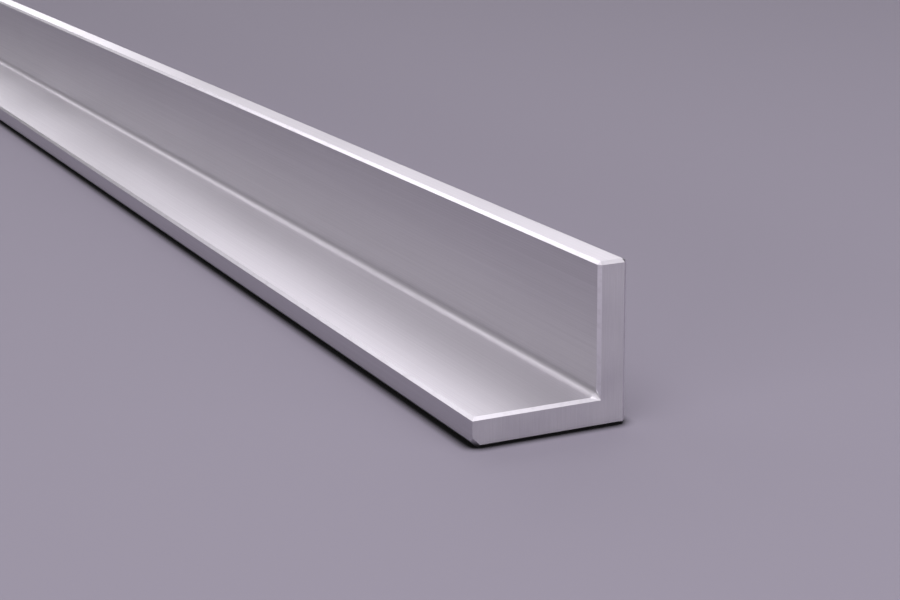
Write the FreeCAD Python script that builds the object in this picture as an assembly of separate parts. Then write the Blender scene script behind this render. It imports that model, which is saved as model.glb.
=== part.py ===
import FreeCAD, Part
import os

# Equal-leg stainless steel angle, 1 x 1 x 3/16 inch, cut to two feet. Millimetres.
# The bar lies on one leg, which points towards -X. The other leg stands up at +X.
# Its length runs along Y, half to each side of the origin, and the floor is the plane z = 0.

# Driving dimensions
leg_width = 25.4            # heel to toe of the leg that lies down
leg_height = 25.4           # heel to toe of the leg that stands up
leg_thickness = 4.76        # of both legs
bar_length = 609.6          # from sawn end to sawn end
root_radius = 1.3           # fillet in the inside corner between the legs
heel_radius = 0.7           # outside corner between the legs
tip_radius = 0.7            # outside edge of the standing leg's toe
foot_flat = 1.0             # 45 degree flat under the lying leg's toe
toe_flat = 0.5              # 45 degree flat along the inside edge of each toe
end_flat = 0.5              # 45 degree flat filed straight along the edges of each sawn end

# Places in the section: x across the bar, z up from the floor
heel_x = leg_width / 2
toe_x = heel_x - leg_width
inner_x = heel_x - leg_thickness
inner_z = leg_thickness
near_y = -bar_length / 2


def towards(start, end, distance):
    """The point at a distance from start, on the way to end."""
    step = end - start
    return start + step * (distance / step.Length)


def corner_edge(before, corner, after, size, rounded):
    """The arc or flat that replaces a square corner, cut back by size along both of its sides."""
    first = towards(corner, before, size)
    last = towards(corner, after, size)
    if not rounded:
        return Part.makeLine(first, last)
    centre = first + last - corner
    middle = towards(centre, corner, size)
    return Part.Arc(first, middle, last).toShape()


def section_face():
    """The L section at the end of the bar where y is lowest."""
    corners = [
        # x, z, size of the corner, rounded or flat
        (heel_x, 0, heel_radius, True),
        (heel_x, leg_height, tip_radius, True),
        (inner_x, leg_height, toe_flat, False),
        (inner_x, inner_z, root_radius, True),
        (toe_x, inner_z, toe_flat, False),
        (toe_x, 0, foot_flat, False),
    ]
    points = [FreeCAD.Vector(x, near_y, z) for x, z, size, rounded in corners]
    turns = []
    for index, (x, z, size, rounded) in enumerate(corners):
        before = points[index - 1]
        after = points[(index + 1) % len(points)]
        turns.append(corner_edge(before, points[index], after, size, rounded))
    outline = []
    for index, turn in enumerate(turns):
        following = turns[(index + 1) % len(turns)]
        outline.append(turn)
        outline.append(Part.makeLine(turn.lastVertex().Point, following.firstVertex().Point))
    return Part.Face(Part.Wire(outline))


def tapered_block(low_y, low, high, high_y, far_low, far_high):
    """A block along Y whose x, z corners change from low, high at low_y to far_low, far_high at high_y."""
    return Part.makeWedge(
        low[0], low_y, low[1], far_low[1], far_low[0],
        high[0], high_y, high[1], far_high[1], far_high[0],
    )


def within_outer_flats():
    """The space that the flats round the end's outer edges leave to the half bar."""
    clear_x = toe_x - leg_width
    flats_end_y = near_y + end_flat
    low = (clear_x, 0)
    high = (heel_x, leg_height)
    end_low = (clear_x, end_flat)
    end_high = (heel_x - end_flat, leg_height - end_flat)
    tapered = tapered_block(near_y, end_low, end_high, flats_end_y, low, high)
    return tapered.fuse(tapered_block(flats_end_y, low, high, 0, low, high))


def inner_flats_cut():
    """What the flats on both inside faces take off, filed straight on through the root fillet."""
    fillet_depth = root_radius * (1 - 0.5 ** 0.5)
    clear_x = toe_x - leg_width
    clear_z = leg_height * 2
    return tapered_block(
        near_y, (clear_x, inner_z - end_flat), (inner_x + end_flat, clear_z),
        near_y + end_flat + fillet_depth,
        (clear_x, inner_z + fillet_depth), (inner_x - fillet_depth, clear_z),
    )


def make_angle():
    """Half of the bar with one sawn end, and its mirror image for the other half."""
    half = section_face().extrude(FreeCAD.Vector(0, bar_length / 2, 0))
    half = half.common(within_outer_flats()).cut(inner_flats_cut())
    other_half = half.mirror(FreeCAD.Vector(0, 0, 0), FreeCAD.Vector(0, 1, 0))
    return half.fuse(other_half).removeSplitter().Solids[0]


os.makedirs("parts", exist_ok=True)
steel_angle = make_angle()
steel_angle.exportStep("parts/steel_angle.step")
print("steel_angle volume mm3:", round(steel_angle.Volume, 1), "valid:", steel_angle.isValid())
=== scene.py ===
import math

import bmesh
import bpy
from mathutils import Matrix, Vector


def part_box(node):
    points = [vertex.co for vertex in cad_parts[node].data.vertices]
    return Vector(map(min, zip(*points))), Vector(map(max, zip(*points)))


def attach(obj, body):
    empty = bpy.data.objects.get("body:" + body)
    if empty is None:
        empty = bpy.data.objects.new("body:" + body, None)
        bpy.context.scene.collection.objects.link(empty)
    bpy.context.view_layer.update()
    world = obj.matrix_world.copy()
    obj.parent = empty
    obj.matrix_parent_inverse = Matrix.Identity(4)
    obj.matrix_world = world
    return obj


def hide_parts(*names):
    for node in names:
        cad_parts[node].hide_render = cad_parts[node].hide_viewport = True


# A length of equal-leg stainless steel angle, lying on one leg on a plain floor.
# It lies along Y. One leg lies down with its toe towards -X, the other stands up at +X.
# Everything is in metres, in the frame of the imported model.

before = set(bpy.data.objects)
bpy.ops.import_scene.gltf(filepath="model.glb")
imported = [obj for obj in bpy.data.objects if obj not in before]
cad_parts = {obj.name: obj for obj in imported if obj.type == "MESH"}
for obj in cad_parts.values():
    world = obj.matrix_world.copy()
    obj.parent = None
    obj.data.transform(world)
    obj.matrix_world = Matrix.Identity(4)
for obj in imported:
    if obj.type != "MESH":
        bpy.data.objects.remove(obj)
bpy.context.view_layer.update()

# Sizes of the bar's section that its overall box does not give
leg_thickness = 0.00476
root_radius = 0.0013
heel_radius = 0.0007
tip_radius = 0.0007
foot_flat = 0.001
small_flat = 0.0005
round_segments = 8
same_place = 1e-6
sharp_angle = math.radians(25)

bar_low, bar_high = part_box("steel_angle")
inner_x = bar_high.x - leg_thickness
inner_z = bar_low.z + leg_thickness

# Colours, as linear values
steel_colour = (0.65, 0.63, 0.665)
dull_steel_colour = (0.60, 0.58, 0.615)
filed_steel_colour = (0.71, 0.69, 0.73)
floor_colour = (0.30, 0.278, 0.333)
sky_colour = (0.97, 0.95, 1.0)
sky_strength = 0.16
lamp_colour = (0.985, 0.955, 1.0)

# Where each finish stands in the bar's list of materials
satin, ground_end, filed_flat, dull_root = range(4)


# ---------------------------------------------------------------- the bar's mesh

def square_bar():
    """The L section with square corners, drawn out to the bar's whole length."""
    corners = [
        (bar_high.x, bar_low.z),
        (bar_high.x, bar_high.z),
        (inner_x, bar_high.z),
        (inner_x, inner_z),
        (bar_low.x, inner_z),
        (bar_low.x, bar_low.z),
    ]
    bar = bmesh.new()
    outline = [bar.verts.new((x, bar_low.y, z)) for x, z in corners]
    section = bar.faces.new(outline)
    drawn = bmesh.ops.extrude_face_region(bar, geom=[section])
    far_corners = [v for v in drawn["geom"] if isinstance(v, bmesh.types.BMVert)]
    bmesh.ops.translate(bar, verts=far_corners, vec=(0, bar_high.y - bar_low.y, 0))
    bmesh.ops.recalc_face_normals(bar, faces=bar.faces)
    return bar


def near(value, wanted):
    return abs(value - wanted) < same_place


def long_edge(bar, x, z):
    """The edges along the bar at one corner of its section."""
    return [e for e in bar.edges if all(near(v.co.x, x) and near(v.co.z, z) for v in e.verts)]


def bevel(bar, edges, size, segments):
    bmesh.ops.bevel(
        bar, geom=edges, offset=size, offset_type="OFFSET", segments=segments, profile=0.5,
        affect="EDGES", material=-1, clamp_overlap=False,
    )


def sawn_rim(bar, y):
    """The edges round one sawn end, but not the upright one at the toe, which stays sharp."""
    rim = [e for e in bar.edges if all(near(v.co.y, y) for v in e.verts)]
    return [e for e in rim if not all(near(v.co.x, bar_low.x) for v in e.verts)]


def cut_flats(bar):
    """The wide flat under the lying toe, then the small ones along the toes and round both ends."""
    bevel(bar, long_edge(bar, bar_low.x, bar_low.z), foot_flat, 1)
    edges = long_edge(bar, bar_low.x, inner_z) + long_edge(bar, inner_x, bar_high.z)
    edges += sawn_rim(bar, bar_low.y) + sawn_rim(bar, bar_high.y)
    bevel(bar, edges, small_flat, 1)


def round_corners(bar):
    """Rounds the root, the heel and the standing toe. The rounds stop where the end flats begin."""
    bevel(bar, long_edge(bar, inner_x, inner_z), root_radius, round_segments)
    bevel(bar, long_edge(bar, bar_high.x, bar_low.z), heel_radius, round_segments)
    bevel(bar, long_edge(bar, bar_high.x, bar_high.z), tip_radius, round_segments)


def lay_grain(bar):
    """Gives each face a UV map in metres whose U runs across the direction it was brushed in."""
    uv = bar.loops.layers.uv.new("across_grain")
    along_bar = Vector((0, 1, 0))
    side_limit = 0.8
    for face in bar.faces:
        across = face.normal.cross(along_bar)
        if across.length > side_limit:
            across.normalize()
            along_face = along_bar
        else:
            # A sawn end or one of its flats, which were dressed upright
            across = Vector((1, 0, 0))
            along_face = Vector((0, 0, 1))
        for loop in face.loops:
            loop[uv].uv = (loop.vert.co.dot(across), loop.vert.co.dot(along_face))


def in_root(face):
    """Whether a face is part of the fillet between the legs, which the brushing hardly reaches."""
    middle = face.calc_center_median()
    return inner_x - root_radius < middle.x < inner_x and inner_z < middle.z < inner_z + root_radius


def finish_faces(bar):
    """Gives the sawn ends, the small flats and the root their own finish. The rest is mill brushed."""
    square_on = 0.99
    leaning = 0.4
    flat_area = 0.0004  # a flat along the bar is larger than this, a strip of a rounded corner smaller
    for face in bar.faces:
        normal = face.normal
        leans = sum(abs(part) > leaning for part in normal) > 1
        is_flat = leans and (abs(normal.y) > leaning or face.calc_area() > flat_area)
        face.smooth = True
        if abs(normal.y) > square_on:
            face.material_index = ground_end
        elif in_root(face):
            face.material_index = dull_root
        elif is_flat:
            face.material_index = filed_flat
        else:
            face.material_index = satin


def make_bar():
    bar = square_bar()
    cut_flats(bar)
    round_corners(bar)
    bar.normal_update()
    lay_grain(bar)
    finish_faces(bar)
    for edge in bar.edges:
        edge.smooth = edge.calc_face_angle(0) < sharp_angle
    mesh = bpy.data.meshes.new("satin_bar")
    bar.to_mesh(mesh)
    bar.free()
    piece = bpy.data.objects.new("satin_bar", mesh)
    bpy.context.scene.collection.objects.link(piece)
    flatten = piece.modifiers.new("flat faces stay flat", "WEIGHTED_NORMAL")
    flatten.keep_sharp = True
    flatten.weight = 100
    return piece


# ---------------------------------------------------------------- materials

def new_material(name):
    material = bpy.data.materials.new(name)
    material.use_nodes = True
    return material, material.node_tree, material.node_tree.nodes["Principled BSDF"]


def pattern(tree, stretch, detail, roughness):
    """Noise on the bar's own coordinates. Stretch gives the cells per metre along X, Y and Z."""
    place = tree.nodes.new("ShaderNodeTexCoord")
    mapping = tree.nodes.new("ShaderNodeMapping")
    mapping.inputs["Scale"].default_value = stretch
    noise = tree.nodes.new("ShaderNodeTexNoise")
    noise.inputs["Scale"].default_value = 1
    noise.inputs["Detail"].default_value = detail
    noise.inputs["Roughness"].default_value = roughness
    tree.links.new(place.outputs["Object"], mapping.inputs["Vector"])
    tree.links.new(mapping.outputs["Vector"], noise.inputs["Vector"])
    return noise.outputs["Fac"]


def spread(tree, value, new_low, new_high, low=0.3, high=0.7):
    """Maps a pattern's middle range, low to high, to a new range of values."""
    node = tree.nodes.new("ShaderNodeMapRange")
    node.inputs["From Min"].default_value = low
    node.inputs["From Max"].default_value = high
    node.inputs["To Min"].default_value = new_low
    node.inputs["To Max"].default_value = new_high
    tree.links.new(value, node.inputs["Value"])
    return node.outputs["Result"]


def mixed_colour(tree, value, first, second):
    mix = tree.nodes.new("ShaderNodeMix")
    mix.data_type = "RGBA"
    mix.inputs["A"].default_value = (*first, 1)
    mix.inputs["B"].default_value = (*second, 1)
    tree.links.new(value, mix.inputs["Factor"])
    return mix.outputs["Result"]


def added(tree, first, second):
    node = tree.nodes.new("ShaderNodeMath")
    node.operation = "ADD"
    tree.links.new(first, node.inputs[0])
    tree.links.new(second, node.inputs[1])
    return node.outputs["Value"]


def bump(tree, shader, height, distance):
    node = tree.nodes.new("ShaderNodeBump")
    node.inputs["Strength"].default_value = 1
    node.inputs["Distance"].default_value = distance
    tree.links.new(height, node.inputs["Height"])
    tree.links.new(node.outputs["Normal"], shader.inputs["Normal"])


def brushed_along(tree, shader):
    """Turns the shader's stretched highlight across the grain."""
    tangent = tree.nodes.new("ShaderNodeTangent")
    tangent.direction_type = "UV_MAP"
    tangent.uv_map = "across_grain"
    tree.links.new(tangent.outputs["Tangent"], shader.inputs["Tangent"])


def satin_steel(name, roughness):
    """Mill brushed steel: fine straight lines along the bar, with faint handling smudges."""
    material, tree, shader = new_material(name)
    shader.inputs["Metallic"].default_value = 1
    shader.inputs["Anisotropic"].default_value = 0.6
    brushed_along(tree, shader)
    lines = pattern(tree, (7000, 14, 7000), 3, 0.6)
    smudges = pattern(tree, (45, 16, 45), 2, 0.5)
    tree.links.new(
        mixed_colour(tree, spread(tree, lines, 0, 1), dull_steel_colour, steel_colour),
        shader.inputs["Base Color"],
    )
    fine = spread(tree, lines, 0.03, -0.03)
    broad = spread(tree, smudges, roughness - 0.03, roughness + 0.03)
    tree.links.new(added(tree, fine, broad), shader.inputs["Roughness"])
    bump(tree, shader, lines, 0.000004)
    return material


def ground_steel():
    """The sawn ends, dressed on a belt that left fine upright marks."""
    material, tree, shader = new_material("ground_end_steel")
    shader.inputs["Metallic"].default_value = 1
    marks = pattern(tree, (4200, 1, 160), 3, 0.6)
    patches = pattern(tree, (160, 160, 160), 2, 0.5)
    tree.links.new(
        mixed_colour(tree, spread(tree, marks, 0, 1), dull_steel_colour, steel_colour),
        shader.inputs["Base Color"],
    )
    fine = spread(tree, marks, 0.03, -0.03)
    broad = spread(tree, patches, 0.38, 0.46)
    tree.links.new(added(tree, fine, broad), shader.inputs["Roughness"])
    bump(tree, shader, marks, 0.000003)
    return material


def filed_steel():
    """The small flats, filed brighter than the faces beside them, with faint duller patches."""
    material, tree, shader = new_material("filed_edge_steel")
    shader.inputs["Metallic"].default_value = 1
    shader.inputs["Roughness"].default_value = 0.28
    patches = pattern(tree, (900, 300, 900), 2, 0.5)
    tree.links.new(
        mixed_colour(tree, spread(tree, patches, 0, 1, high=0.5), steel_colour, filed_steel_colour),
        shader.inputs["Base Color"],
    )
    return material


def floor_material():
    """Plain pale board with a painted contact shadow: its colour darkens to black only where the bar
    comes within a few millimetres of it.
    """
    material, tree, shader = new_material("pale_floor")
    shader.inputs["Roughness"].default_value = 0.9
    shader.inputs["Specular IOR Level"].default_value = 0.2
    # Painted contact shadow: occlusion by the bar blends the floor's colour towards black within a few
    # millimetres of it
    contact_shadow_occlusion = tree.nodes.new("ShaderNodeAmbientOcclusion")
    contact_shadow_occlusion.samples = 16
    contact_shadow_occlusion.inputs["Distance"].default_value = 0.0022
    painted_shadow_mask = spread(tree, contact_shadow_occlusion.outputs["AO"], 0, 1, low=0.5, high=0.97)
    tree.links.new(mixed_colour(tree, painted_shadow_mask, (0, 0, 0), floor_colour), shader.inputs["Base Color"])
    return material


# ---------------------------------------------------------------- floor, light and camera

def make_floor():
    bpy.ops.mesh.primitive_plane_add(size=12, location=(0, 0, bar_low.z))
    floor = bpy.context.object
    floor.name = "floor"
    floor.data.materials.append(floor_material())


def light_sky():
    world = bpy.data.worlds.new("studio")
    world.use_nodes = True
    background = world.node_tree.nodes["Background"]
    background.inputs["Color"].default_value = (*sky_colour, 1)
    background.inputs["Strength"].default_value = sky_strength
    bpy.context.scene.world = world


def softbox(name, place, aim, width, height, radiance):
    """A soft lamp of a given size that shines from one place towards another, evenly bright."""
    lamp = bpy.data.lights.new(name, "AREA")
    lamp.shape = "RECTANGLE"
    lamp.size = width
    lamp.size_y = height
    lamp.color = lamp_colour
    lamp.energy = radiance * math.pi * width * height
    holder = bpy.data.objects.new(name, lamp)
    holder.location = place
    holder.rotation_mode = "QUATERNION"
    holder.rotation_quaternion = (Vector(aim) - Vector(place)).to_track_quat("-Z", "Y")
    holder.visible_camera = False
    bpy.context.scene.collection.objects.link(holder)


def hang_lamps():
    softbox("overhead", (0.3, -0.1, 1.1), (0.3, -0.1, 0), 2.0, 2.0, 0.55)
    softbox("overhead_near", (-0.1, -0.6, 0.6), (-0.05, -0.35, 0), 0.8, 0.8, 1.3)
    softbox("behind_left", (-1.33, 3.35, 2.07), (0, -0.3, 0), 2.05, 1.55, 1.3)
    softbox("behind_right", (1.27, 3.37, 2.07), (0, -0.3, 0), 4.3, 1.47, 2.4)
    softbox("behind_low", (0.5, 4.03, 0.61), (0, -0.3, 0), 1.24, 0.69, 2.5)
    softbox("front_fill", (0.8, -1.8, 0.6), (0, -0.3, 0), 2.0, 1.0, 1.8)
    softbox("left_fill", (-2.6, -1.5, 0.5), (0, -0.3, 0), 2.4, 0.7, 7.5)


def make_camera():
    """Stands low in front of the near end, to the open side of the angle."""
    camera_data = bpy.data.cameras.new("camera")
    camera_data.lens = 75.35
    camera_data.sensor_width = 36.0
    camera_data.clip_start = 0.01
    camera = bpy.data.objects.new("camera", camera_data)
    camera.location = (-0.12409, -0.53538, 0.09222)
    forward = Vector((0.40940, 0.87357, -0.26318))
    upright = forward.to_track_quat("-Z", "Y")
    roll = Matrix.Rotation(math.radians(0.662), 4, forward)
    camera.rotation_mode = "QUATERNION"
    camera.rotation_quaternion = (roll @ upright.to_matrix().to_4x4()).to_quaternion()
    bpy.context.scene.collection.objects.link(camera)
    bpy.context.scene.camera = camera


bar = make_bar()
bar.data.materials.append(satin_steel("satin_steel", 0.39))
bar.data.materials.append(ground_steel())
bar.data.materials.append(filed_steel())
bar.data.materials.append(satin_steel("dull_root_steel", 0.5))
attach(bar, "root")
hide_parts("steel_angle")

make_floor()
light_sky()
hang_lamps()
make_camera()
bpy.context.scene.view_settings.view_transform = "Standard"
